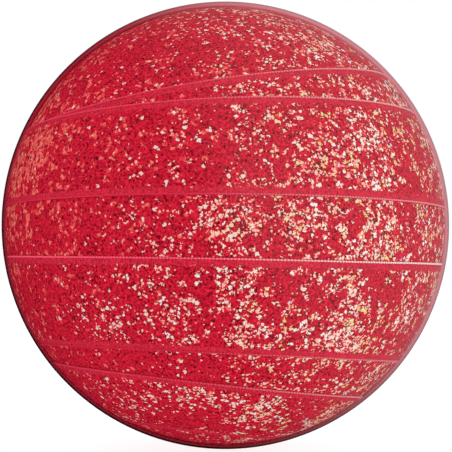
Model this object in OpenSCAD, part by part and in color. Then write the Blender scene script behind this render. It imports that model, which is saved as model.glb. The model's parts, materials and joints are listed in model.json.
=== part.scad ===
// Bowling ball with foil-flecked ribbon wraps under a clear cover, and a twist-in thumb unit.
// Origin at the centre of the ball, +Z up. The drilled grip is on the back left, at -X +Y.

/* [Ball] */
// Outside diameter over the clear cover; the rule for the game allows 215.9 to 218.3
ball_d = 217; // [215.9:0.1:218.3]
// Thickness of the clear cover over the outermost ribbon
clear_t = 1.5; // [1.2:0.1:3]
// Thickness of the coloured shell under the ribbons
shell_t = 19.5; // [15:0.5:24]

/* [Ribbons] */
// Width of the ribbon
ribbon_w = 48; // [46:0.5:50]
// Thickness of one ribbon
ribbon_t = 0.35; // [0.25:0.05:0.45]
// Gap that adhesive fills between two pieces that lie on each other
bond = 0.05; // [0.03:0.01:0.08]

/* [Weight block] */
// Radius of the round end of the weight block
bulb_r = 32; // [26:1:32]
// Radius of the neck
neck_r = 18; // [14:1:18]
// Radius of the collar above the neck
collar_r = 27; // [22:1:27]
// Diameter of the locating pin, seen at the surface as a dot
pin_d = 9.5; // [8:0.5:12]

/* [Finger holes] */
// Inside diameter of a finger insert
finger_hole_d = 19; // [17:0.2:19.4]
// Outside diameter of a finger insert, 15/16 inch
finger_insert_d = 23.8; // [23:0.1:24]
// Depth of a finger hole below the surface
finger_depth = 26; // [22:0.5:27]
// Wall left between the two drilled finger holes at the surface, 3/8 inch
bridge = 9.6; // [9.6:0.2:13]

/* [Thumb unit] */
// Inside diameter of the thumb hole
thumb_hole_d = 25.8; // [22:0.2:27]
// Outside diameter of the thumb slug, 1 1/4 inch
thumb_slug_d = 31.75; // [31:0.05:32]
// Depth of the thumb hole below the surface
thumb_depth = 62; // [56:1:64]
// Surface distance from the near edge of the thumb hole to the near edge of the finger holes
span = 101.6; // [92:0.2:108]
// Turn that locks the thumb unit
lock_turn = 60; // [45:1:70]

/* [Hidden] */
$fn = 96;
ball_r = ball_d / 2;
deg_per_mm = 180 / (PI * ball_r);

// Ribbon layers, counted outwards from the coloured shell
layers = 4;
layer_pitch = ribbon_t + bond;
ribbon_top_r = ball_r - clear_t;
shell_r = ribbon_top_r - layers * layer_pitch - bond;
core_r = shell_r - shell_t;
ribbon_deg = ribbon_w * deg_per_mm;

// Ribbon wraps: [layer, tilt about X, tilt about Y, latitude of the upper edge, of the lower edge].
// A wrap is a band round its own tilted axis; the first and the last run on over the poles.
pole = 90;
WRAPS = [
    [0, -5.7, -9.2,  pole,  27.0],
    [1, -5.7, -9.2,  32.6,  32.6 - ribbon_deg],
    [3, -4.5, -1.1,  27.9,  27.9 - ribbon_deg],
    [2, -3.4,  0.0,  10.0,  10.0 - ribbon_deg],
    [3, -2.2,  1.9,  -9.9,  -9.9 - ribbon_deg],
    [0, -2.5,  4.5, -30.0, -30.0 - ribbon_deg],
    [1, -2.5,  6.3, -44.9, -44.9 - ribbon_deg],
    [0, -2.5,  6.3, -63.0, -pole],
];

// Grip: its middle as azimuth from +X and elevation, with the fingers above it and the thumb below
grip_azimuth = 135;
grip_elevation = 17;
half_grip = (span + thumb_hole_d / 2 + finger_hole_d / 2) * deg_per_mm / 2;
finger_elevation = grip_elevation + half_grip;
thumb_elevation = grip_elevation - half_grip;
finger_spread = asin((finger_insert_d + bridge) / 2 / ball_r);
pin_azimuth = 85;
pin_elevation = 40;

// Finger insert, drawn along +Z from the centre of the ball
finger_r = finger_hole_d / 2;
insert_r = finger_insert_d / 2;
finger_floor = ball_r - finger_depth;
insert_floor_t = 2;
lip = 1.4;

// Thumb unit, drawn along +Z from the centre of the ball
thumb_r = thumb_hole_d / 2;
slug_r = thumb_slug_d / 2;
running = 0.15;
inner_wall = 1.4;
inner_sleeve_r = slug_r + bond + inner_wall;
socket_r = inner_sleeve_r + running;
lug_reach = 1.3;
track_play = 0.2;
track_r = socket_r + lug_reach + track_play;
outer_wall = 1.7;
outer_sleeve_r = track_r + outer_wall;
thumb_floor = ball_r - thumb_depth;
slug_floor_t = 3;
slug_bottom = thumb_floor - slug_floor_t;
inner_floor_t = 2;
sleeve_bottom = slug_bottom - bond - inner_floor_t;
sleeve_floor_top = sleeve_bottom + inner_floor_t;
ring_t = 5;
ring_gap = 0.3;
ring_bottom = sleeve_bottom - ring_gap - ring_t;
ring_top = ring_bottom + ring_t;
ring_hole_r = 8;
socket_floor = ring_bottom - ring_gap;
outer_floor_t = 2.5;
outer_sleeve_bottom = socket_floor - outer_floor_t;

// Three lugs on the inner sleeve, the tracks they run in, and three dogs on the ring in notches
lugs = 3;
lug_step = 360 / lugs;
lug_h = 4;
lug_deg = 26;
lug_root_r = slug_r + 0.5;
lug_bottom = slug_bottom + 1;
lug_play = 0.4;
track_deg = lug_deg + 5;
dog_in = 11.5;
dog_out = 15.5;
dog_deg = 18;
dog_short = 0.6;
notch_deg = 22;
notch_play = 0.35;

// Tape let into the wall of the thumb hole
tape_t = 0.4;
tape_deg = 60;
tape_len = 38;
tape_top = ball_r - 9;

// Weight block, drawn along +Z; +Z becomes the direction of the locating pin
bulb_drop = 6;
collar_low = 38;
collar_high = 52;
cap_high = 62;
cap_low_r = 23;
cap_high_r = 16;
pin_r = pin_d / 2;

// How far a cut runs past what it cuts
over = 1;
through = 2 * ball_d;

RED = [0.80, 0.09, 0.13];
DEEP_RED = [0.56, 0.04, 0.08];

// Turns +Z to a direction given by azimuth and elevation
module toward(azimuth, elevation) {
    rotate([0, 90 - elevation, azimuth]) children();
}

// Puts its children at the middle finger (side 1) or the ring finger (side -1) of a right hand
module at_finger(side) {
    toward(grip_azimuth, finger_elevation) rotate([side * finger_spread, 0, 0]) children();
}

module at_thumb() {
    toward(grip_azimuth, thumb_elevation) children();
}

module at_pin() {
    toward(pin_azimuth, pin_elevation) children();
}

// A cylinder along +Z from low to high
module post(r, low, high) {
    translate([0, 0, low]) cylinder(r = r, h = high - low);
}

// A ring along +Z from low to high
module tube(r_out, r_in, low, high) {
    difference() {
        post(r_out, low, high);
        post(r_in, low - over, high + over);
    }
}

// Part of a ring that spans deg degrees in all, with its middle at turn degrees from +X
module ring_sector(r_out, r_in, low, high, deg, turn = 0) {
    translate([0, 0, low]) rotate([0, 0, turn - deg / 2])
        rotate_extrude(angle = deg) translate([r_in, 0]) square([r_out - r_in, high - low]);
}

// What is drilled out of every layer for the grip
module drilled() {
    for (side = [-1, 1])
        at_finger(side) post(insert_r + bond, finger_floor - insert_floor_t - bond, through);
    at_thumb() post(outer_sleeve_r + bond, outer_sleeve_bottom - bond, through);
}

module pin_hole() {
    at_pin() post(pin_r + bond, cap_high, through);
}

module clear_cover() {
    color([1, 0.96, 0.96, 0.25]) difference() {
        sphere(r = ball_r);
        sphere(r = ribbon_top_r);
        drilled();
    }
}

// One ribbon, as a band of thin shell between two latitudes of its own axis
module wrap(w) {
    inner = shell_r + bond + w[0] * layer_pitch;
    low = (w[4] == -pole) ? -ball_r : inner * sin(w[4]);
    high = (w[3] == pole) ? ball_r : inner * sin(w[3]);
    difference() {
        intersection() {
            difference() {
                sphere(r = inner + ribbon_t);
                sphere(r = inner);
            }
            rotate([w[1], w[2], 0]) post(ball_r, low, high);
        }
        drilled();
        pin_hole();
    }
}

module ribbon_crown() { color(RED) wrap(WRAPS[0]); }
module ribbon_upper() { color(RED) wrap(WRAPS[1]); }
module ribbon_front_top() { color(RED) wrap(WRAPS[2]); }
module ribbon_middle() { color(RED) wrap(WRAPS[3]); }
module ribbon_front_low() { color(RED) wrap(WRAPS[4]); }
module ribbon_lower() { color(RED) wrap(WRAPS[5]); }
module ribbon_foot() { color(RED) wrap(WRAPS[6]); }
module ribbon_base() { color(RED) wrap(WRAPS[7]); }

module cover_shell() {
    color(DEEP_RED) difference() {
        sphere(r = shell_r);
        sphere(r = core_r + bond);
        drilled();
        pin_hole();
    }
}

module outer_core() {
    color([0.72, 0.70, 0.66]) difference() {
        sphere(r = core_r);
        drilled();
        pin_hole();
        at_pin() {
            weight_block_shape(bond);
            weight_cap_shape(bond);
        }
    }
}

// Round end, neck and collar of the weight block, grown by gap
module weight_block_shape(gap = 0) {
    translate([0, 0, -bulb_drop]) sphere(r = bulb_r + gap);
    post(neck_r + gap, 0, collar_low + over);
    post(collar_r + gap, collar_low - gap, collar_high + gap);
}

module weight_cap_shape(gap = 0) {
    translate([0, 0, collar_high + bond - gap])
        cylinder(r1 = cap_low_r + gap, r2 = cap_high_r + gap, h = cap_high - collar_high - bond + gap);
}

module weight_block() {
    color([0.35, 0.33, 0.32]) at_pin() weight_block_shape();
}

module weight_cap() {
    color([0.20, 0.22, 0.26]) at_pin() weight_cap_shape();
}

module locating_pin() {
    color([0.96, 0.93, 0.84]) intersection() {
        at_pin() post(pin_r, cap_high + bond, ball_r);
        sphere(r = ribbon_top_r - bond);
    }
}

// A cone at 45 degrees that eases the edge of a hole of radius r, from 2 lips below the surface
module eased_edge(r) {
    translate([0, 0, ball_r - 2 * lip]) cylinder(r1 = r, r2 = r + 2 * lip, h = 2 * lip);
}

// Soft insert with a closed floor and an eased lip
module finger_insert() {
    difference() {
        intersection() {
            post(insert_r, finger_floor - insert_floor_t, ball_r);
            sphere(r = ball_r);
        }
        post(finger_r, finger_floor, ball_r);
        eased_edge(finger_r);
    }
}

module finger_insert_middle() {
    color([0.13, 0.13, 0.14]) at_finger(1) finger_insert();
}

module finger_insert_ring() {
    color([0.13, 0.13, 0.14]) at_finger(-1) finger_insert();
}

// Sleeve glued in the ball, with three entry tracks and the arcs that the lugs turn in
module thumb_outer_sleeve() {
    color([0.12, 0.12, 0.13]) at_thumb() difference() {
        intersection() {
            post(outer_sleeve_r, outer_sleeve_bottom, ball_r);
            sphere(r = ball_r);
        }
        post(socket_r, socket_floor, ball_r);
        for (i = [0 : lugs - 1]) rotate([0, 0, i * lug_step]) {
            ring_sector(track_r, socket_r - over, lug_bottom - lug_play, ball_r, track_deg);
            ring_sector(track_r, socket_r - over, lug_bottom - lug_play, lug_bottom + lug_h + lug_play,
                track_deg + lock_turn, lock_turn / 2);
        }
    }
}

// Ring that stays in the socket and turns with the thumb unit through three dogs
module thumb_lock_ring() {
    color([0.62, 0.63, 0.65]) at_thumb() {
        tube(inner_sleeve_r, ring_hole_r, ring_bottom, ring_top);
        for (i = [0 : lugs - 1])
            ring_sector(dog_out, dog_in, ring_top - over, sleeve_floor_top - dog_short, dog_deg, i * lug_step);
    }
}

// Sleeve that carries the thumb slug, with three lugs outside and three notches in its floor
module thumb_inner_sleeve() {
    color([0.20, 0.20, 0.22]) at_thumb() difference() {
        union() {
            intersection() {
                post(inner_sleeve_r, sleeve_bottom, ball_r);
                sphere(r = ball_r);
            }
            for (i = [0 : lugs - 1])
                ring_sector(socket_r + lug_reach, lug_root_r, lug_bottom, lug_bottom + lug_h,
                    lug_deg, i * lug_step);
        }
        post(slug_r + bond, slug_bottom - bond, ball_r);
        for (i = [0 : lugs - 1])
            ring_sector(dog_out + notch_play, dog_in - notch_play, sleeve_bottom - over, slug_bottom,
                notch_deg, i * lug_step);
    }
}

// Slug drilled for the thumb, with an eased lip and a shallow seat for the tape
module thumb_slug() {
    color(DEEP_RED) at_thumb() difference() {
        intersection() {
            post(slug_r, slug_bottom, ball_r);
            sphere(r = ball_r);
        }
        post(thumb_r, thumb_floor, ball_r);
        eased_edge(thumb_r);
        tape_seat();
    }
}

// Strip of tape in the wall of the thumb hole, on the side away from the fingers
module thumb_tape() {
    color([0.93, 0.91, 0.86]) at_thumb()
        ring_sector(thumb_r + bond + tape_t, thumb_r + bond, tape_top - tape_len, tape_top, tape_deg);
}

// What is cut away for the tape, with the adhesive's gap round it
module tape_seat() {
    ring_sector(thumb_r + 2 * bond + tape_t, thumb_r - over,
        tape_top - tape_len - bond, tape_top + bond, tape_deg + 4 * bond);
}

clear_cover();
ribbon_crown();
ribbon_upper();
ribbon_front_top();
ribbon_middle();
ribbon_front_low();
ribbon_lower();
ribbon_foot();
ribbon_base();
cover_shell();
outer_core();
weight_block();
weight_cap();
locating_pin();
finger_insert_middle();
finger_insert_ring();
thumb_outer_sleeve();
thumb_lock_ring();
thumb_inner_sleeve();
thumb_slug();
thumb_tape();
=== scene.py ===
# %% [markdown]
# # A ribbon-wrapped bowling ball, built around its CAD frame
# A ball for ten-pin bowling is a set of nested shells. This one has a red shell under eight turns of
# foil-flecked woven ribbon, all sealed under 1.5 mm of clear resin, and a grip drilled into its back.
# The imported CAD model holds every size. Here the ribbons are woven and the resin is polished.

import json
import math

import bmesh
import bpy
import numpy as np
from mathutils import Matrix, Vector


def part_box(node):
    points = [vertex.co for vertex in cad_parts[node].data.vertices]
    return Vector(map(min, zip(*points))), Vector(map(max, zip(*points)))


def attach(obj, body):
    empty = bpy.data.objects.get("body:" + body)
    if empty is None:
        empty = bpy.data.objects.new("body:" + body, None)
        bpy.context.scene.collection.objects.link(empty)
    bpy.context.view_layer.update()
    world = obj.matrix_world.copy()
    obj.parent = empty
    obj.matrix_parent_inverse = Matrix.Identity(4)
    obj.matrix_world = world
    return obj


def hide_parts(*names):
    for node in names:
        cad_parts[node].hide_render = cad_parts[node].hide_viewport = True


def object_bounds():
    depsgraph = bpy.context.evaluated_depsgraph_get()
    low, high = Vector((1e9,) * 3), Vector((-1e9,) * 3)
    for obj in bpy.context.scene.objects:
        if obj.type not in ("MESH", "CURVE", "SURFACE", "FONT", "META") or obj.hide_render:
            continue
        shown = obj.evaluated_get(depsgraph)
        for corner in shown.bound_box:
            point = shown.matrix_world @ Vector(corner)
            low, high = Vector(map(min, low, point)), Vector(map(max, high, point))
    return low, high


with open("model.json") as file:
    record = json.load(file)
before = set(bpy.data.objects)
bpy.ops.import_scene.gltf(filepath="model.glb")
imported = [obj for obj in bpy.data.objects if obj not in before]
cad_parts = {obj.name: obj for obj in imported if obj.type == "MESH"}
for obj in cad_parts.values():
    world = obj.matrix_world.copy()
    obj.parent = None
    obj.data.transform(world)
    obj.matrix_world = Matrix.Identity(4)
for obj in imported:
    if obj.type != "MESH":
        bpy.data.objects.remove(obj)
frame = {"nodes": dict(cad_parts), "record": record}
cad_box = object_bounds()
MM = 0.001
ball_r = (cad_box[1].z - cad_box[0].z) / 2
print(f"ball radius {ball_r / MM:.1f} mm, nodes {len(frame['nodes'])}")

# %% [markdown]
# ## The camera
# The view is level, from ten radii in front of the ball. That is far enough for the outline to stay a
# circle, and near enough for the ribbons to close up towards the rim as they do to a real eye. The frame
# is one hundredth wider than the ball, which nearly fills it.

# %% Camera
camera_radii = 10
frame_over_ball = 1.00979
ball_half_view = math.asin(1 / camera_radii)
half_view = math.atan(frame_over_ball * math.tan(ball_half_view))
camera_data = bpy.data.cameras.new("camera")
camera_data.angle = 2 * half_view
camera_data.shift_x = 0.0015
camera_data.shift_y = -0.0015
camera = bpy.data.objects.new("camera", camera_data)
camera.location = (0, -camera_radii * ball_r, 0)
camera.rotation_euler = (math.radians(90), 0, 0)
bpy.context.collection.objects.link(camera)
bpy.context.scene.camera = camera
bpy.context.scene.view_settings.view_transform = "Standard"
print(f"camera {camera_radii * ball_r:.3f} m away, {math.degrees(camera_data.angle):.2f} degrees wide")

# %% [markdown]
# ## Helpers for materials
# A colour is written as a maker would quote it, in sRGB hex, and one function turns it into the linear
# values that shaders mix. One more function adds a node of any kind, sets its sockets and links what feeds
# it. With those two, a material reads from top to bottom in the order in which its surface was made.


# %% Colour and node helpers
def linear(hex_colour):
    """sRGB hex to linear RGBA."""
    parts = [int(hex_colour[i:i + 2], 16) / 255 for i in (1, 3, 5)]
    return tuple(c / 12.92 if c <= 0.04045 else ((c + 0.055) / 1.055) ** 2.4 for c in parts) + (1.0,)


def add(tree, kind, inputs=None, **settings):
    """Adds a node. A node or a socket in inputs is linked, and anything else is set."""
    node = tree.nodes.new("ShaderNode" + kind)
    for name, value in settings.items():
        setattr(node, name, value)
    for name, value in (inputs or {}).items():
        if isinstance(value, bpy.types.Node):
            value = next(socket for socket in value.outputs if socket.enabled)
        if isinstance(value, bpy.types.NodeSocket):
            tree.links.new(value, node.inputs[name])
        else:
            node.inputs[name].default_value = value
    return node


print("crimson", [round(c, 3) for c in linear("#c02a30")])


# %% A range, a new material and its end
def span(low, high, start, end):
    """The limits of a range and what it becomes, under the names that sockets have for them."""
    return {"From Min": low, "From Max": high, "To Min": start, "To Max": end}


def new_material(name):
    material = bpy.data.materials.new(name)
    material.use_nodes = True
    material.node_tree.nodes.clear()
    return material, material.node_tree


def finish_material(tree, shader, bump=None):
    """Links the shader to the output, and a bump to the shader."""
    add(tree, "OutputMaterial", {"Surface": shader})
    if bump is not None:
        tree.links.new(bump.outputs["Normal"], shader.inputs["Normal"])


SMOOTH = "SMOOTHSTEP"
print("a range", span(0, 1, 0.2, 0.8))

# %% [markdown]
# ## The light
# The ball sits in a plain pale studio. The walls light it almost evenly, a little more from the right, so
# the ribbons keep their own colour. What the polished resin mirrors matters more than the lamps: a bright
# side on the right and overhead, which lays a thin veil of white on that side, and a dark side on the left,
# which leaves the ribbons there deep. Both are gradients by direction.

# %% Where the studio is bright
world = bpy.data.worlds.new("studio")
bpy.context.scene.world = world
world.use_nodes = True
tree = world.node_tree
tree.nodes.clear()
where = add(tree, "TexCoord").outputs["Generated"]
rightness = add(tree, "VectorMath", {0: where, 1: (1, -0.1, 0.1)}, operation="DOT_PRODUCT")
even = add(tree, "MapRange", {"Value": rightness, **span(-1, 1, 1.04, 1.24)}, interpolation_type=SMOOTH)
sideways = add(tree, "VectorMath", {0: where, 1: (0.9, 0, 0.35)}, operation="DOT_PRODUCT")
upright = add(tree, "VectorMath", {0: where, 1: (1, 0, 1)}, operation="MULTIPLY")
spread = add(tree, "VectorMath", {0: upright}, operation="LENGTH")
softened = add(tree, "Math", {0: spread, 1: 0.12}, operation="ADD")
sideways = add(tree, "Math", {0: sideways, 1: softened}, operation="DIVIDE")
bright_side = add(tree, "MapRange", {"Value": sideways, **span(-0.3, 0.7, 0.02, 1.0)},
                  interpolation_type=SMOOTH)
backwards = add(tree, "VectorMath", {0: where, 1: (0, 1, 0)}, operation="DOT_PRODUCT")
behind = add(tree, "MapRange", {"Value": backwards, **span(-0.2, 0.9, 0.4, 0.24)}, interpolation_type=SMOOTH)
mirrored = add(tree, "Math", {0: bright_side, 1: behind}, operation="MULTIPLY")
print("gradients for", world.name)

# %% What each ray finds there
white = (1, 1, 1, 1)
path = add(tree, "LightPath")
even_light = add(tree, "Background", {"Color": white, "Strength": even})
mirror_light = add(tree, "Background", {"Color": white, "Strength": mirrored})
backdrop = add(tree, "Background", {"Color": white, "Strength": 1.0})
lit = add(tree, "MixShader", {0: path.outputs["Is Glossy Ray"], 1: even_light, 2: mirror_light})
seen = add(tree, "MixShader", {0: path.outputs["Is Camera Ray"], 1: lit, 2: backdrop})
add(tree, "OutputWorld", {"Surface": seen})
print("world: even light for cloth, a bright right and a dark left for the polish")

# %% [markdown]
# ## The floor
# A studio sweep of matt white paper. Lamps of its own light it until it is nearly white, so it shows only
# the softest shadow under the ball. A grey that glows stands in for those lamps. The resin doesn't mirror
# it, as a real sweep would be flagged off the polish.

# %% Floor
paper, tree = new_material("White paper sweep, matt")
tufts_across = 900.0
fibre = add(tree, "TexNoise", {"Scale": tufts_across, "Detail": 3.0})
tone = add(tree, "Mix", {"Factor": fibre, "A": linear("#7c7b79"), "B": linear("#8a8a89")}, data_type="RGBA")
matt = add(tree, "BsdfPrincipled", {
    "Base Color": tone, "Roughness": 0.9, "Specular IOR Level": 0.1, "Emission Color": white,
    "Emission Strength": 0.88})
finish_material(tree, matt)
floor_half = 3.0
mesh = bpy.data.meshes.new("floor")
corners = [(x * floor_half, y * floor_half, -ball_r) for x, y in ((-1, -1), (1, -1), (1, 1), (-1, 1))]
mesh.from_pydata(corners, [], [(0, 1, 2, 3)])
floor = bpy.data.objects.new("floor", mesh)
floor.data.materials.append(paper)
bpy.context.collection.objects.link(floor)
floor.visible_glossy = False
floor.visible_diffuse = False
print(f"floor at {-ball_r / MM:.1f} mm")

# %% [markdown]
# ## The wraps
# Each wrap is a length of 2-inch ribbon pulled round the ball on its own slightly tilted circle. Its two
# edges are nearly, but not quite, parallel, because cloth that is pulled round a sphere drifts as it goes.
# So each edge is the cut of a tilted plane through the sphere. An edge that shows has a plane of its own on
# the front, and runs back into line with the ribbon's middle behind the ball.

# %% Sizes shared with the frame
ribbon_w = 48 * MM
ribbon_t = 0.35 * MM
bond = 0.05 * MM
layer_pitch = ribbon_t + bond
clear_t = 1.5 * MM
layers = 4
first_layer_r = ball_r - clear_t - layers * layer_pitch
ribbon_deg = math.degrees(ribbon_w / ball_r)
print(f"ribbon spans {ribbon_deg:.2f} degrees, first layer at {first_layer_r / MM:.2f} mm")

# %% The eight wraps, from the crown down
# name: layer, tilt about X and Y, latitude of each edge, and for an edge that shows: its own plane on the
# front (tilts and latitude), how much painted light its cord gets (top edges lit, lower edges shaded), and
# how many layers it drops to lie on what is below
POLE = 90
WRAPS = {
    "ribbon_crown": dict(layer=0, tilt=(-5.7, -9.2), upper=POLE, lower=27.0),
    "ribbon_upper": dict(layer=1, tilt=(-5.7, -9.2), upper=32.6, lower=32.6 - ribbon_deg,
                         top_edge=dict(plane=(-5.7, -9.2, 32.6), painted_cord_light=0.55, drop=0)),
    "ribbon_front_top": dict(layer=3, tilt=(-4.5, -1.1), upper=27.9, lower=27.9 - ribbon_deg,
                             top_edge=dict(plane=(-5.7, -2.5, 26.8), painted_cord_light=0.6, drop=1),
                             low_edge=dict(plane=(-3.4, 0.3, 3.8), painted_cord_light=0.12, drop=0)),
    "ribbon_middle": dict(layer=2, tilt=(-3.4, 0.0), upper=10.0, lower=10.0 - ribbon_deg, reach=15),
    "ribbon_front_low": dict(layer=3, tilt=(-2.2, 1.9), upper=-9.9, lower=-9.9 - ribbon_deg, reach=42,
                             top_edge=dict(plane=(-1.3, 1.0, -9.0), painted_cord_light=1.0, drop=0),
                             low_edge=dict(plane=(-3.1, 2.75, -35.9), painted_cord_light=0.15, drop=2)),
    "ribbon_lower": dict(layer=0, tilt=(-2.5, 4.5), upper=-30.0, lower=-30.0 - ribbon_deg),
    "ribbon_foot": dict(layer=1, tilt=(-2.5, 6.3), upper=-44.9, lower=-44.9 - ribbon_deg, reach=30,
                        top_edge=dict(plane=(-2.5, 6.3, -44.9), painted_cord_light=0.5, drop=0)),
    "ribbon_base": dict(layer=0, tilt=(-2.5, 6.3), upper=-63.0, lower=-POLE),
}
showing = [name for name, wrap in WRAPS.items() if "top_edge" in wrap or "low_edge" in wrap]
print(f"{len(WRAPS)} wraps, {len(showing)} with an edge that shows")


# %% Where an edge runs
def tilted_axis(tilt_x, tilt_y, axis=(0, 0, 1)):
    """Where an axis of the ball points once it is tilted about X and then about Y."""
    turn = Matrix.Rotation(math.radians(tilt_y), 3, "Y") @ Matrix.Rotation(math.radians(tilt_x), 3, "X")
    return turn @ Vector(axis)


def edge_elevation(around, tilt_x, tilt_y, latitude):
    """Elevation, in radians, at which a tilted plane's cut passes each direction around Z."""
    axis = tilted_axis(tilt_x, tilt_y)
    level = axis.x * np.cos(around) + axis.y * np.sin(around)
    return np.arcsin(math.sin(math.radians(latitude)) / np.hypot(level, axis.z)) - np.arctan2(level, axis.z)


def smooth(value, low, high):
    t = np.clip((value - low) / (high - low), 0, 1)
    return t * t * (3 - 2 * t)


wander_deg = 0.12


def drift(around, seed, height):
    """A slow wander of an edge, as cloth laid by hand has, that closes on itself."""
    rng = np.random.default_rng(seed)
    return height * sum(rng.normal() * np.sin(k * around + rng.uniform(0, 6.28)) / k for k in (3, 5, 8, 13))


def edge_line(wrap, which, around, seed):
    """Elevation of a wrap's upper or lower edge round the ball."""
    line = edge_elevation(around, *wrap["tilt"], wrap[which])
    own = wrap.get({"upper": "top_edge", "lower": "low_edge"}[which])
    if own:
        front = smooth(-np.sin(around), -0.6, -0.05)
        line = line + front * (edge_elevation(around, *own["plane"]) - line)
    return line + drift(around, seed, math.radians(wander_deg))


turns = np.linspace(0, 2 * math.pi, 8, endpoint=False)
print("front_top upper edge", np.degrees(edge_line(WRAPS["ribbon_front_top"], "upper", turns, 1)).round(1))

# %% [markdown]
# ## The cloth of a wrap
# A ribbon is a thin closed sheet, so it is built as one: a grid of points round the ball and across the
# width, once for its face and once for its back, joined along both selvedges. Its face gets a map in
# metres along and across the cloth, because the weave has to follow the threads. The selvedge is a
# separate roll of thread, a tube whose thickness swells once for every stitch, so its beads are real.
# Simulated cloth would wrinkle. This ribbon is glued down flat, so a direct mesh is truer to it.

# %% Ribbon mesh
around_steps = 480
across_steps = 18
stitch = 1.6 * MM
steps_per_stitch = 4
cord_r = 0.5 * MM
cord_sides = 6
bead_depth = 0.55
edge_fall = 9 * MM
cap_steps = 32
pinhole_deg = 0.03


def unit(around, elevation):
    return np.stack([np.cos(around) * np.cos(elevation), np.sin(around) * np.cos(elevation),
                     np.sin(elevation) + 0 * around], -1)


def band_radius(wrap, across):
    """Radius of the back of the cloth at a share of its width from the lower edge."""
    r = first_layer_r + wrap["layer"] * layer_pitch + 0 * across
    for key, distance in (("top_edge", (1 - across) * ribbon_w), ("low_edge", across * ribbon_w)):
        if key in wrap:
            r = r - wrap[key]["drop"] * layer_pitch * (1 - smooth(distance, 0, edge_fall))
    return r


def grid_faces(rows, columns, u_step, across):
    """Quads of a grid that closes both ways, and the map of each corner: u round the rows, v from across."""
    i, k = np.meshgrid(np.arange(rows), np.arange(columns), indexing="ij")
    j, m = (i + 1) % rows, (k + 1) % columns
    quads = np.stack([i * columns + k, i * columns + m, j * columns + m, j * columns + k], -1)
    u0, u1, v0, v1 = i * u_step, (i + 1) * u_step, across[k], across[m]
    maps = np.stack([u0, v0, u0, v1, u1, v1, u1, v0], -1)
    return quads.reshape(-1, 4), maps.reshape(-1)


def closed_band(wrap, seed):
    """Points, quads and map of the cloth itself: its back across the width, then its face back again."""
    around = np.linspace(0, 2 * math.pi, around_steps, endpoint=False)
    if is_cap(wrap):
        return closed_cap(wrap, around)
    share = np.linspace(0, 1, across_steps)
    low = edge_line(wrap, "lower", around, seed)
    high = edge_line(wrap, "upper", around, seed + 50)
    direction = unit(around[:, None], low[:, None] + (high - low)[:, None] * share)
    radius = band_radius(wrap, share)[None, :, None]
    ring = np.concatenate([direction * radius, (direction * (radius + ribbon_t))[:, ::-1]], axis=1)
    across = np.concatenate([share, share[::-1]]) * ribbon_w
    length = 2 * math.pi * ball_r * math.cos(math.radians((wrap["upper"] + wrap["lower"]) / 2))
    return ring.reshape(-1, 3), *grid_faces(around_steps, ring.shape[1], length / around_steps, across)


def is_cap(wrap):
    return wrap["upper"] == POLE or wrap["lower"] == -POLE


def closed_cap(wrap, around):
    """The first or last wrap, which runs on to the pole of its own axis and closes there to a pinhole."""
    rim = math.radians(wrap["lower"] if wrap["upper"] == POLE else wrap["upper"])
    pole = math.copysign(math.radians(POLE - pinhole_deg), rim)
    elevation = rim + (pole - rim) * np.linspace(0, 1, cap_steps)
    direction = unit(around[:, None], elevation[None, :])
    turn = np.array([[*tilted_axis(*wrap["tilt"], column)] for column in ((1, 0, 0), (0, 1, 0), (0, 0, 1))])
    r = first_layer_r + wrap["layer"] * layer_pitch
    ring = np.concatenate([direction * r, (direction * (r + ribbon_t))[:, ::-1]], axis=1) @ turn
    arc = np.minimum(np.abs(elevation - rim) * ball_r, ribbon_w / 2)
    across = np.concatenate([arc, arc[::-1]])
    u_step = 2 * math.pi * ball_r * math.cos(rim) / around_steps
    return ring.reshape(-1, 3), *grid_faces(around_steps, ring.shape[1], u_step, across)


def selvedge(wrap, which, seed, key):
    """The roll of thread along one edge. It lies on the cloth's edge, and swells with each stitch."""
    shown = key in wrap
    stitches = int(2 * math.pi * ball_r * math.cos(math.radians(wrap[which])) / stitch)
    steps = stitches * steps_per_stitch
    around = np.linspace(0, 2 * math.pi, steps, endpoint=False)
    thread_r = cord_r if shown else ribbon_t / 2
    beads = 1 - bead_depth * (0.5 - 0.5 * np.cos(around * stitches)) if shown else 1 + 0 * around
    inset = math.copysign(thread_r / ball_r, -1 if which == "upper" else 1)
    line = edge_line(wrap, which, around, seed) + inset
    drop = wrap[key]["drop"] if shown else 0
    centre_r = first_layer_r + (wrap["layer"] - drop) * layer_pitch + thread_r
    outward, upward = unit(around, line), unit(around, line + math.pi / 2)
    angle = np.arange(cord_sides) / cord_sides * 2 * math.pi
    across_thread = np.cos(angle)[None, :, None] * outward[:, None]
    along_edge = np.sin(angle)[None, :, None] * upward[:, None]
    points = outward[:, None] * centre_r + (across_thread + along_edge) * (beads * thread_r)[:, None, None]
    across = np.arange(cord_sides) / cord_sides * 2 * thread_r
    return points.reshape(-1, 3), *grid_faces(steps, cord_sides, stitch / steps_per_stitch, across)


def make_mesh(name, points, faces, maps, painted_cord_light=0.0, lay=0.0, reach=0.0):
    """A mesh with its map, and three numbers that the cloth's material reads at every point."""
    mesh = bpy.data.meshes.new(name)
    mesh.from_pydata(points, [], faces)
    mesh.uv_layers.new(name="cloth_map").data.foreach_set("uv", maps)
    for label, value in (("painted_cord_light", painted_cord_light), ("lay", lay), ("reach", reach)):
        mesh.attributes.new(label, "FLOAT", "POINT").data.foreach_set("value", [value] * len(points))
    mesh.polygons.foreach_set("use_smooth", [True] * len(faces))
    bm = bmesh.new()
    bm.from_mesh(mesh)
    bmesh.ops.recalc_face_normals(bm, faces=bm.faces)
    bm.to_mesh(mesh)
    bm.free()
    return mesh


print(f"cloth grid {around_steps} x {2 * across_steps}, {2 * math.pi * ball_r / stitch:.0f} stitches round")

# %% [markdown]
# ## The drilled holes
# The ball is wrapped and cast first and drilled last, so every layer is cut by the same drills. A Boolean
# with the drill, flared a little to ease the hole's edge, does that to a mesh. It needs closed meshes,
# which is one more reason to build the cloth and its cords closed. The finger and thumb axes come from the
# frame's mounts, and the pin's from its box.

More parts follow.
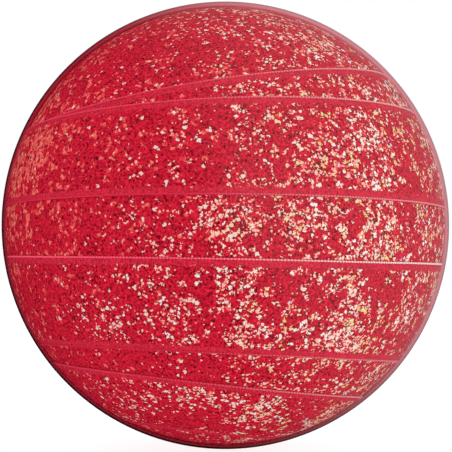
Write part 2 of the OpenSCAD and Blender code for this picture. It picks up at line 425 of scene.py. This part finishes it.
# %% Drills
mounts = {m["name"]: m for m in frame["record"]["mounts"]}
insert_hole_r = 11.95 * MM
sleeve_hole_r = 20.725 * MM
pin_hole_r = 4.8 * MM
drill_from = 70 * MM
drill_to = 130 * MM
drill_sides = 128
edge_ease = 0.45 * MM
near = 4 * MM


def drill(name, axis, radius):
    """A countersunk drill on an axis through the ball's centre, with its direction and radius."""
    eased = math.sqrt(ball_r ** 2 - radius ** 2) - edge_ease
    profile = ((radius, drill_from), (radius, eased), (radius + drill_to - eased, drill_to))
    angles = np.arange(drill_sides) / drill_sides * 2 * math.pi
    points = [(r * math.cos(a), r * math.sin(a), h) for r, h in profile for a in angles]
    faces = [(k * drill_sides + i, k * drill_sides + (i + 1) % drill_sides,
              (k + 1) * drill_sides + (i + 1) % drill_sides, (k + 1) * drill_sides + i)
             for k in range(len(profile) - 1) for i in range(drill_sides)]
    faces.append(tuple(reversed(range(drill_sides))))
    faces.append(tuple(range(len(points) - drill_sides, len(points))))
    mesh = bpy.data.meshes.new(name)
    mesh.from_pydata(points, [], faces)
    mesh.transform(Vector(axis).to_track_quat("Z", "Y").to_matrix().to_4x4())
    obj = bpy.data.objects.new(name, mesh)
    bpy.context.collection.objects.link(obj)
    return obj, np.array(axis), radius


finger_axes = [Vector(mounts[n]["axis"]) for n in ("middle_finger_hole", "ring_finger_hole")]
thumb_axis = Vector(mounts["thumb_hole"]["axis"])
pin_low, pin_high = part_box("locating_pin")
pin_axis = (Vector(pin_low) + Vector(pin_high)).normalized()
drills = [drill(f"drill_{i}", axis, insert_hole_r) for i, axis in enumerate(finger_axes)]
drills += [drill("drill_thumb", thumb_axis, sleeve_hole_r)]
pin_drill = drill("drill_pin", pin_axis, pin_hole_r)
print("pin axis", [round(c, 3) for c in pin_axis])


# %% Cutting
def reaches(obj, axis, radius):
    """Whether a drill comes within a few millimetres of a mesh."""
    points = np.empty(3 * len(obj.data.vertices))
    obj.data.vertices.foreach_get("co", points)
    points = points.reshape(-1, 3)
    off_axis = np.linalg.norm(np.cross(points, axis), axis=1)
    return bool(np.any((off_axis < radius + near) & (points @ axis > 0)))


def cut(obj, tools):
    """Takes the drills that reach a closed mesh out of it, and keeps the result."""
    tools = [tool for tool, axis, radius in tools if reaches(obj, axis, radius)]
    if not tools:
        return obj
    for tool in tools:
        modifier = obj.modifiers.new("cut", "BOOLEAN")
        modifier.object = tool
        modifier.operation = "DIFFERENCE"
        modifier.solver = "MANIFOLD"
    graph = bpy.context.evaluated_depsgraph_get()
    result = bpy.data.meshes.new_from_object(obj.evaluated_get(graph), preserve_all_data_layers=True,
                                             depsgraph=graph)
    obj.modifiers.clear()
    old = obj.data
    obj.data = result
    bpy.data.meshes.remove(old)
    return obj


def new_object(name, mesh):
    obj = bpy.data.objects.new(name, mesh)
    bpy.context.collection.objects.link(obj)
    return obj


def join(name, objects):
    """One object from several, with the faces of all."""
    bpy.ops.object.select_all(action="DESELECT")
    for obj in objects:
        obj.select_set(True)
    bpy.context.view_layer.objects.active = objects[0]
    if len(objects) > 1:
        bpy.ops.object.join()
    objects[0].name = name
    objects[0].data.name = name
    return objects[0]


def round_normals(obj, sharp_deg=30):
    """Keeps what is drilled crisp, and everything that follows the sphere smooth."""
    obj.data.polygons.foreach_set("use_smooth", [True] * len(obj.data.polygons))
    obj.data.set_sharp_from_angle(angle=math.radians(sharp_deg))


print("tools ready")

# %% [markdown]
# ## Foil-flecked lame ribbon
# The real cloth is a woven satin of dyed crimson polyester with chips of metal foil bonded to it. The foil
# is what catches the eye, and its light is painted in by place on the ball: pale, almost white chips on the
# right are a painted highlight, salmon chips on the left are painted shade, gold ones in places are kept to
# the right as a painted glint, a few are lilac, and a painted shadow rings each pale chip. Voronoi cells make
# them, because each cell is one chip with its own random colour, and noise read at the cell's own centre
# decides in which clusters a chip is laid. A margin along each selvedge has no foil, only the ribs of the
# weft, which are drawn at 0.8 mm, coarser than thread, to show.

# %% Sizes of the foil, in millimetres
chip_mm = 1.62
chip_body = 0.48
body_less = 0.12
body_more = 0.2
ragged_mm = 1.0
batch_mm = 11.0
speck_mm = 0.85
cluster_mm = 4.3
patch_mm = 22.0
thread_mm = 1.1
margin_mm = 3.9
stray_mm = 3.0
rib_mm = 0.8
bump_mm = 0.15
# x and z of the spots richest in foil, how far each reaches, and what it adds
RICH_SPOTS = ((54, -54, 16, 2.4), (66, 52, 18, 0.8), (26, 50, 12, 0.8), (-99, 36, 26, 1.6),
              (60, 30, 20, 0.8))
print(f"chips {chip_mm} mm, specks {speck_mm} mm, clusters {cluster_mm} mm")


# %% Chips with ragged edges
def lay_chips(tree, place, lay):
    """Cells for the chips and the finer specks, each with random numbers, and the noise that tears them."""
    shift = add(tree, "CombineXYZ", {0: lay, 1: lay, 2: lay})
    point = add(tree, "VectorMath", {0: place, 1: shift}, operation="ADD")
    ragged = add(tree, "TexNoise", {"Vector": point, "Scale": 1000 / ragged_mm, "Detail": 1.0})
    push = add(tree, "VectorMath", {0: ragged.outputs["Color"], 1: (0.5, 0.5, 0.5)}, operation="SUBTRACT")
    torn = add(tree, "VectorMath", {0: push, 1: (2.2 * MM, 2.2 * MM, 1.6 * MM), 2: point},
               operation="MULTIPLY_ADD")
    chips = add(tree, "TexVoronoi", {"Vector": torn, "Scale": 1000 / chip_mm, "Randomness": 1.0})
    specks = add(tree, "TexVoronoi", {"Vector": point, "Scale": 1000 / speck_mm, "Randomness": 1.0})
    chance = add(tree, "SeparateColor", {0: chips.outputs["Color"]})
    small = add(tree, "SeparateColor", {0: specks.outputs["Color"]})
    return point, push, chips, chance.outputs, small.outputs


print("chips have bodies of", chip_body - body_less, "to", chip_body + body_more, "of a cell")


# %% Where foil is laid
def crowding(tree, place, centre):
    """How crowded the foil is: clusters within larger patches, and the rich spots."""
    clusters = add(tree, "TexNoise", {"Vector": centre, "Scale": 1000 / cluster_mm, "Detail": 1.5,
                                      "Roughness": 0.6})
    patches = add(tree, "TexNoise", {"Vector": centre, "Scale": 1000 / patch_mm, "Detail": 1.0})
    half = add(tree, "Math", {0: patches, 1: 0.5}, operation="MULTIPLY")
    laid = add(tree, "Math", {0: clusters, 1: half}, operation="ADD")
    crowd = add(tree, "MapRange", {"Value": laid, **span(0.7, 0.85, 0.0, 4.6)})
    flat = add(tree, "VectorMath", {0: place, 1: (1, 0, 1)}, operation="MULTIPLY")
    for x_mm, z_mm, reach_mm, gain in RICH_SPOTS:
        away = add(tree, "VectorMath", {0: flat, 1: (x_mm * MM, 0, z_mm * MM)}, operation="DISTANCE")
        spot = add(tree, "MapRange", {"Value": away, **span(0, reach_mm * MM, gain, 0)},
                   interpolation_type=SMOOTH)
        crowd = add(tree, "Math", {0: crowd, 1: spot}, operation="ADD")
    return crowd


def chances(tree, x, z, reach, crowd):
    """Painted light by place: the foil is laid pale on the right, a painted highlight, and salmon on the left
    and higher up, painted shade.
    """
    # Painted light: x, shifted by each wrap's reach, says how far right a point is; side runs from 0 on the
    # painted shaded left to 1 on the painted lit right
    painted_lit_x = add(tree, "Math", {0: x, 1: reach}, operation="ADD")
    side = add(tree, "MapRange", {"Value": painted_lit_x, **span(-0.06, 0.085, 0.0, 1.0)}, interpolation_type=SMOOTH)
    share = add(tree, "MapRange", {"Value": side, "To Min": 0.006, "To Max": 0.115})
    pale_chance = add(tree, "Math", {0: share, 1: crowd}, operation="MULTIPLY")
    # Painted shade: salmon chips are laid on the left, fewer towards the bottom
    painted_shade_side = add(tree, "MapRange", {"Value": x, **span(-0.1, -0.05, 0.17, 0.03)}, interpolation_type=SMOOTH)
    upper = add(tree, "MapRange", {"Value": z, **span(-0.035, 0.005, 0.45, 1.0)}, interpolation_type=SMOOTH)
    far_upper = add(tree, "Math", {0: painted_shade_side, 1: upper}, operation="MULTIPLY")
    salmon_chance = add(tree, "Math", {0: far_upper, 1: crowd}, operation="MULTIPLY")
    return side, pale_chance, salmon_chance


print("rich spots", len(RICH_SPOTS))


# %% Masks of the foil
def foil_masks(tree, chips, chance, small, across, pale_chance, salmon_chance):
    """1 where a pale chip, the painted shadow round it, a salmon chip, a fine speck or a dark speck is, and 0
    elsewhere. The fine specks follow the painted lit side, as the pale chips do.
    """
    inner = add(tree, "Math", {0: across, 1: margin_mm * MM}, operation="GREATER_THAN")
    outer = add(tree, "Math", {0: across, 1: ribbon_w - margin_mm * MM}, operation="LESS_THAN")
    field = add(tree, "Math", {0: inner, 1: outer}, operation="MULTIPLY")
    size = add(tree, "MapRange", {"Value": chance[1], "To Min": chip_body - body_less,
                                  "To Max": chip_body + body_more})
    body = add(tree, "Math", {0: chips.outputs["Distance"], 1: size}, operation="LESS_THAN")
    fine_chance = add(tree, "Math", {0: pale_chance, 1: 0.6}, operation="MULTIPLY")
    dark_chance = add(tree, "Math", {0: pale_chance, 1: 0.2, 2: 0.07}, operation="MULTIPLY_ADD")
    hits = []
    for number, limit in ((chance[0], pale_chance), (chance[1], salmon_chance), (small[0], fine_chance),
                          (small[1], dark_chance)):
        hit = add(tree, "Math", {0: number, 1: limit}, operation="LESS_THAN")
        hits.append(add(tree, "Math", {0: hit, 1: field}, operation="MULTIPLY"))
    chosen, salmon, fine, dark = hits
    pale = add(tree, "Math", {0: chosen, 1: body}, operation="MULTIPLY")
    # Painted shadow: the rest of a pale chip's cell, round its body, is painted dark
    painted_chip_shadow = add(tree, "Math", {0: chosen, 1: pale}, operation="SUBTRACT")
    return field, pale, painted_chip_shadow, salmon, fine, dark


print("no foil within", margin_mm, "mm of a selvedge")

# %% Colours of the cloth and of the foil
DYE = ((0.32, "#940c22"), (0.68, "#ea2640"))
# The foil's own tints, painted near-white on the pale chips as a painted highlight
FOIL = ((0.0, "#fffaf4"), (0.2, "#ffe0d6"), (0.36, "#fff0e2"), (0.56, "#f9e2a2"), (0.72, "#ffd2c2"),
        (0.8, "#f4cb7a"), (0.93, "#e0c2e6"))


def set_ramp(ramp, stops, interpolation):
    ramp.interpolation = interpolation
    while len(ramp.elements) < len(stops):
        ramp.elements.new(0.5)
    for element, (position, shade) in zip(ramp.elements, stops):
        element.position = position
        element.color = linear(shade)


def foil_colour(tree, centre, x, chance, side):
    """Near-white foil, a painted highlight, with batches of gold kept to the right as a painted glint, and a
    dull pink painted shade on the left.
    """
    batch = add(tree, "TexNoise", {"Vector": centre, "Scale": 1000 / batch_mm, "Detail": 0.0})
    batch = add(tree, "MapRange", {"Value": batch, **span(0.42, 0.62, 0, 1)}, interpolation_type=SMOOTH)
    # Gold batches are real foil, but kept mostly to the right, a painted glint
    warm = add(tree, "MapRange", {"Value": x, **span(-0.02, 0.04, 0.05, 0.5)}, interpolation_type=SMOOTH)
    batch = add(tree, "Math", {0: batch, 1: warm}, operation="MULTIPLY")
    shade = add(tree, "Math", {0: chance[2], 1: 0.5, 2: batch}, operation="MULTIPLY_ADD")
    tint = add(tree, "ValToRGB", {"Fac": shade})
    set_ramp(tint.color_ramp, FOIL, "CONSTANT")
    # Painted shade: towards the left the foil is mixed to a dull pink
    painted_shade_share = add(tree, "MapRange", {"Value": side, "To Min": 0.6, "To Max": 0.0})
    return add(tree, "Mix", {"Factor": painted_shade_share, "A": tint, "B": linear("#fab8b4")}, data_type="RGBA")


print(len(FOIL), "foil colours")


# %% The cord of the selvedge
def cord_colour(tree, cloth, x, side, painted_cord_light):
    """Painted light on the cord: dull red on the left and pale on the right, paler on edges painted lit, and
    painted shade in the dips of its stitches, deeper on the right.
    """
    # Painted light: the cord is painted paler towards the right
    painted_cord_lit_side = add(tree, "MapRange", {"Value": x, **span(-0.03, 0.105, 0, 1)}, interpolation_type=SMOOTH)
    bright = add(tree, "Mix", {"Factor": painted_cord_lit_side, "A": linear("#fe5c7a"), "B": linear("#fff0e8")},
                 data_type="RGBA")
    dull = add(tree, "Mix", {"Factor": painted_cord_lit_side, "A": linear("#d82242"), "B": linear("#f08090")},
               data_type="RGBA")
    # Painted light: edges marked lit are paler, edges marked shaded duller
    cord = add(tree, "Mix", {"Factor": painted_cord_light, "A": dull, "B": bright}, data_type="RGBA")
    # Painted shade in the dips of the stitches, deeper where the painted light is
    stitched = add(tree, "TexWave", {"Vector": cloth, "Scale": math.tau / 20 / stitch}, wave_type="BANDS",
                   bands_direction="X").outputs["Fac"]
    depth = add(tree, "MapRange", {"Value": side, **span(0, 0.6, 0.12, 0.5)}, interpolation_type=SMOOTH)
    stitch_painted_shade = add(tree, "Math", {0: stitched, 1: depth}, operation="MULTIPLY")
    return add(tree, "Mix", {"Factor": stitch_painted_shade, "A": cord, "B": linear("#b4243e")}, data_type="RGBA")


print(f"a stitch every {stitch / MM:.1f} mm")


# %% The whole ribbon
def foil_ribbon():
    material, tree = new_material("Foil-flecked lame ribbon, woven polyester")
    place = add(tree, "TexCoord").outputs["Object"]
    lay, painted_cord_light, reach = (add(tree, "Attribute", attribute_name=name).outputs["Fac"]
                         for name in ("lay", "painted_cord_light", "reach"))
    cloth = add(tree, "UVMap", uv_map="cloth_map")
    x, _, z = add(tree, "SeparateXYZ", {0: place}).outputs
    point, push, chips, chance, small = lay_chips(tree, place, lay)
    centre = chips.outputs["Position"]
    side, pale_chance, salmon_chance = chances(tree, x, z, reach, crowding(tree, place, centre))

    # The margins end a little unevenly
    stray = add(tree, "SeparateXYZ", {0: push}).outputs["X"]
    width = add(tree, "SeparateXYZ", {0: cloth}).outputs["Y"]
    across = add(tree, "Math", {0: stray, 1: stray_mm * MM, 2: width}, operation="MULTIPLY_ADD")
    masks = foil_masks(tree, chips, chance, small, across, pale_chance, salmon_chance)
    field, pale, painted_chip_shadow, salmon, fine, dark = masks

    # Dyed satin that varies from thread to thread, then the ribs of the weft, drawn coarser than they are
    grain = add(tree, "TexNoise", {"Vector": point, "Scale": 1000 / thread_mm, "Detail": 2.0})
    ground = add(tree, "ValToRGB", {"Fac": grain})
    set_ramp(ground.color_ramp, DYE, "LINEAR")
    wave = add(tree, "TexWave", {"Vector": cloth, "Scale": math.tau / 20 / (rib_mm * MM)}, wave_type="BANDS",
               bands_direction="X").outputs["Fac"]
    margin = add(tree, "Math", {0: 1.0, 1: field}, operation="SUBTRACT")
    ribs = add(tree, "Math", {0: wave, 1: margin}, operation="MULTIPLY")
    ribs = add(tree, "Math", {0: ribs, 1: 0.35}, operation="MULTIPLY")

    # Each layer goes over the ones before it
    # Painted shade: salmon chips are the foil painted as it looks out of the light
    salmon_shade = add(tree, "Mix", {"Factor": small[2], "A": linear("#d42c40"), "B": linear("#fa8270")},
                       data_type="RGBA")
    is_cord = add(tree, "Math", {0: painted_cord_light, 1: 0.01}, operation="GREATER_THAN")
    colour = ground
    # Of these layers the salmon chips, the painted shadow round the pale chips, the pale chips and the cord
    # carry painted light and shade
    for factor, shade in ((dark, linear("#6e0a1a")), (salmon, salmon_shade), (painted_chip_shadow, linear("#8a1020")),
                          (fine, linear("#fbb8a8")), (pale, foil_colour(tree, centre, x, chance, side)),
                          (ribs, linear("#e04a62")), (is_cord, cord_colour(tree, cloth, x, side, painted_cord_light))):
        colour = add(tree, "Mix", {"Factor": factor, "A": colour, "B": shade}, data_type="RGBA")

    # Chips and ribs stand a little proud. The resin's own polish gives the gloss, so the cloth has none
    proud = add(tree, "Math", {0: chance[0], 1: field}, operation="MULTIPLY")
    relief = add(tree, "Math", {0: wave, 1: 0.4, 2: proud}, operation="MULTIPLY_ADD")
    bump = add(tree, "Bump", {"Height": relief, "Strength": 0.25, "Distance": bump_mm * MM})
    foil_metal = add(tree, "Math", {0: pale, 1: 0.15}, operation="MULTIPLY")
    shader = add(tree, "BsdfPrincipled", {
        "Base Color": colour, "Metallic": foil_metal, "Roughness": 0.55, "Specular IOR Level": 0.0})
    finish_material(tree, shader, bump)
    return material


ribbon_material = foil_ribbon()
print("made", ribbon_material.name, "with", len(ribbon_material.node_tree.nodes), "nodes")

# %% [markdown]
# ## Laying the wraps
# Each wrap is cut by the drills, joined with its two cords and set on the ball's body.

# %% Wraps
lay_step = 0.37
# Cords that don't show get a faint painted cord light, which still marks them as cords
hidden_painted_cord_light = 0.02
tools = drills + [pin_drill]
for number, (name, wrap) in enumerate(WRAPS.items()):
    marks = dict(lay=lay_step * (number + 1), reach=wrap.get("reach", 0) * MM)
    parts = [new_object(name + "_cloth", make_mesh(name, *closed_band(wrap, number), **marks))]
    edges = () if is_cap(wrap) else (("upper", "top_edge", number + 50), ("lower", "low_edge", number))
    for which, key, seed in edges:
        painted_cord_light = wrap.get(key, {}).get("painted_cord_light", hidden_painted_cord_light)
        cord = make_mesh(name, *selvedge(wrap, which, seed, key), painted_cord_light=painted_cord_light, **marks)
        parts.append(new_object(f"{name}_{which}", cord))
    for part in parts:
        cut(part, tools)
    piece = join(name + "_cloth", parts)
    piece.data.materials.clear()
    piece.data.materials.append(ribbon_material)
    round_normals(piece)
    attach(piece, "ball")
    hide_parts(name)
    print(name, len(piece.data.polygons), "faces")

# %% [markdown]
# ## The clear cover
# Polyester resin, cast over the ribbons and polished to a mirror. A shader that bends light would also
# work, but the resin is only 1.5 mm thick and lies close on the cloth, so bending hardly moves anything
# except at the rim. A surface that lets light straight through and mirrors by Fresnel's law is truer here,
# and it stays free of noise. At the rim real resin would bend the view back onto the cloth, so a narrow
# band there is painted in the cloth's red, with painted shade on the lower left and a pale painted
# reflection on the upper right.


# %% Cover mesh
def sphere_shell(name, outer_r, inner_r, rings, segments):
    """A closed hollow sphere from two lathe-turned skins."""
    bm = bmesh.new()
    for radius, flip in ((outer_r, False), (inner_r, True)):
        made = bmesh.ops.create_uvsphere(bm, u_segments=segments, v_segments=rings, radius=radius)
        if flip:
            faces = {f for v in made["verts"] for f in v.link_faces}
            bmesh.ops.reverse_faces(bm, faces=list(faces))
    mesh = bpy.data.meshes.new(name)
    bm.to_mesh(mesh)
    bm.free()
    return new_object(name, mesh)


cover_gap = 0.22 * MM
cover_rings = 180
cover = sphere_shell("clear_cover_cast", ball_r, ball_r - clear_t + cover_gap, cover_rings, 2 * cover_rings)
cut(cover, drills)
round_normals(cover)
print("cover", len(cover.data.polygons), "faces")


# %% Cover material
swirl_mm = 60.0


def clear_resin():
    material, tree = new_material("Clear polyester resin, cast and polished")
    place = add(tree, "TexCoord").outputs["Object"]
    backs = add(tree, "NewGeometry").outputs["Backfacing"]
    outside = add(tree, "Math", {0: 1.0, 1: backs}, operation="SUBTRACT")
    fresnel = add(tree, "Fresnel", {"IOR": 1.5})
    mirror = add(tree, "Math", {0: fresnel, 1: outside}, operation="MULTIPLY")

    # The band at the rim, with its painted shade on the lower left and painted reflection on the upper right
    facing = add(tree, "LayerWeight", {"Blend": 0.5}).outputs["Facing"]
    rim = add(tree, "MapRange", {"Value": facing, **span(0.79, 0.835, 0, 1)})
    rim = add(tree, "Math", {0: rim, 1: outside}, operation="MULTIPLY")
    to_right = add(tree, "VectorMath", {0: place, 1: (1, 0, 0.45)}, operation="DOT_PRODUCT")
    painted_rim_shade = add(tree, "MapRange", {"Value": to_right, **span(-0.07, 0.05, 1, 0)}, interpolation_type=SMOOTH)
    depth = add(tree, "MapRange", {"Value": facing, **span(0.84, 0.93, 0, 1)}, interpolation_type=SMOOTH)
    painted_rim_shade = add(tree, "Math", {0: painted_rim_shade, 1: depth}, operation="MULTIPLY")
    to_right = add(tree, "VectorMath", {0: place, 1: (1, 0, 0.5)}, operation="DOT_PRODUCT")
    painted_rim_reflection = add(tree, "MapRange", {"Value": to_right, **span(-0.01, 0.08, 0, 1)}, interpolation_type=SMOOTH)
    red = add(tree, "Mix", {"Factor": painted_rim_reflection, "A": linear("#cc2842"), "B": linear("#f07c8c")}, data_type="RGBA")
    rim_red = add(tree, "Mix", {"Factor": painted_rim_shade, "A": red, "B": linear("#560c1a")}, data_type="RGBA")

    # Clear in the middle, painted at the rim, and polished all over with faint swirls
    clear = add(tree, "BsdfTransparent", {"Color": white})
    bent = add(tree, "BsdfDiffuse", {"Color": rim_red})
    through = add(tree, "MixShader", {0: rim, 1: clear, 2: bent})
    swirl = add(tree, "TexNoise", {"Vector": place, "Scale": 1000 / swirl_mm, "Detail": 2.0})
    polish = add(tree, "MapRange", {"Value": swirl, "To Min": 0.03, "To Max": 0.09})
    gloss = add(tree, "BsdfGlossy", {"Color": white, "Roughness": polish})
    finish_material(tree, add(tree, "MixShader", {0: mirror, 1: through, 2: gloss}))
    return material


cover.data.materials.clear()
cover.data.materials.append(clear_resin())
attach(cover, "ball")
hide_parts("clear_cover")
print("made", cover.data.materials[0].name)

# %% [markdown]
# ## The solid pieces
# The shell, the core, the weight block, its cap and the pin are cast; the inserts are soft vinyl, the
# sleeves are moulded nylon, the ring is turned acetal and the slug is urethane. Their CAD shapes are right,
# so they stay, and each gets a material for how it was made.


# %% One recipe for cast and moulded pieces
def moulded(name, deep, light, grain_mm, roughness, relief_mm=0.02, fleck=None, fleck_share=0.0, coat=0.0):
    """A cast or moulded surface: mottled colour at the grain's size, fine relief, and flecks of filler."""
    material, tree = new_material(name)
    place = add(tree, "TexCoord").outputs["Object"]
    mottle = add(tree, "TexNoise", {"Vector": place, "Scale": 1000 / grain_mm, "Detail": 5.0})
    colour = add(tree, "Mix", {"Factor": mottle, "A": linear(deep), "B": linear(light)}, data_type="RGBA")
    if fleck:
        cells = add(tree, "TexVoronoi", {"Vector": place, "Scale": 1000 / (grain_mm * 0.7)})
        chance = add(tree, "SeparateColor", {0: cells.outputs["Color"]})
        hit = add(tree, "Math", {0: chance, 1: fleck_share}, operation="LESS_THAN")
        colour = add(tree, "Mix", {"Factor": hit, "A": colour, "B": linear(fleck)}, data_type="RGBA")
    wear = add(tree, "MapRange", {"Value": mottle, "To Min": roughness * 0.8, "To Max": roughness * 1.2})
    bump = add(tree, "Bump", {"Height": mottle, "Strength": 0.4, "Distance": relief_mm * MM})
    shader = add(tree, "BsdfPrincipled", {
        "Base Color": colour, "Roughness": wear, "Specular IOR Level": 0.4, "Coat Weight": coat})
    finish_material(tree, shader, bump)
    return material


FINISHES = {
    "cover_shell": moulded("Pigmented polyester resin, cast", "#5a0712", "#8c1020", 6.0, 0.25, coat=0.3),
    "outer_core": moulded("Glass-filled polyester core, cast", "#a8a39a", "#c4beb2", 2.0, 0.75,
                          fleck="#e8e2d6", fleck_share=0.12),
    "weight_block": moulded("Barium-loaded resin block, cast", "#4a4644", "#645e5a", 1.5, 0.7,
                            fleck="#8a8480", fleck_share=0.1),
    "weight_cap": moulded("Barium-loaded resin cap, cast", "#30343c", "#454a54", 1.5, 0.7, fleck="#6a707c",
                          fleck_share=0.1),
    "locating_pin": moulded("Polyester pin, cast and sanded", "#e8dfc8", "#f7f1e0", 3.0, 0.35),
    "finger_insert_middle": moulded("Vinyl insert, injection moulded", "#141416", "#2a2a2d", 0.6, 0.6, 0.03),
    "thumb_outer_sleeve": moulded("Nylon sleeve, moulded", "#1a1a1d", "#2c2c30", 0.9, 0.45),
    "thumb_lock_ring": moulded("Acetal ring, turned", "#8e9094", "#b2b4b8", 1.2, 0.35),
    "thumb_inner_sleeve": moulded("Nylon inner sleeve, moulded", "#26262a", "#3a3a40", 0.9, 0.45),
    "thumb_slug": moulded("Urethane slug, turned and polished", "#6e0a16", "#9c1424", 5.0, 0.3, coat=0.4),
    "thumb_tape": moulded("Bowler's tape, woven cotton", "#d8d2c2", "#f2eee2", 0.5, 0.85, 0.05),
}
FINISHES["finger_insert_ring"] = FINISHES["finger_insert_middle"]
for node, material in FINISHES.items():
    obj = frame["nodes"][node]
    for one in obj.material_slots:
        one.material = material
    print(node, material.name)

# %% Clear away the drills
for tool, axis, radius in tools:
    bpy.data.objects.remove(tool)
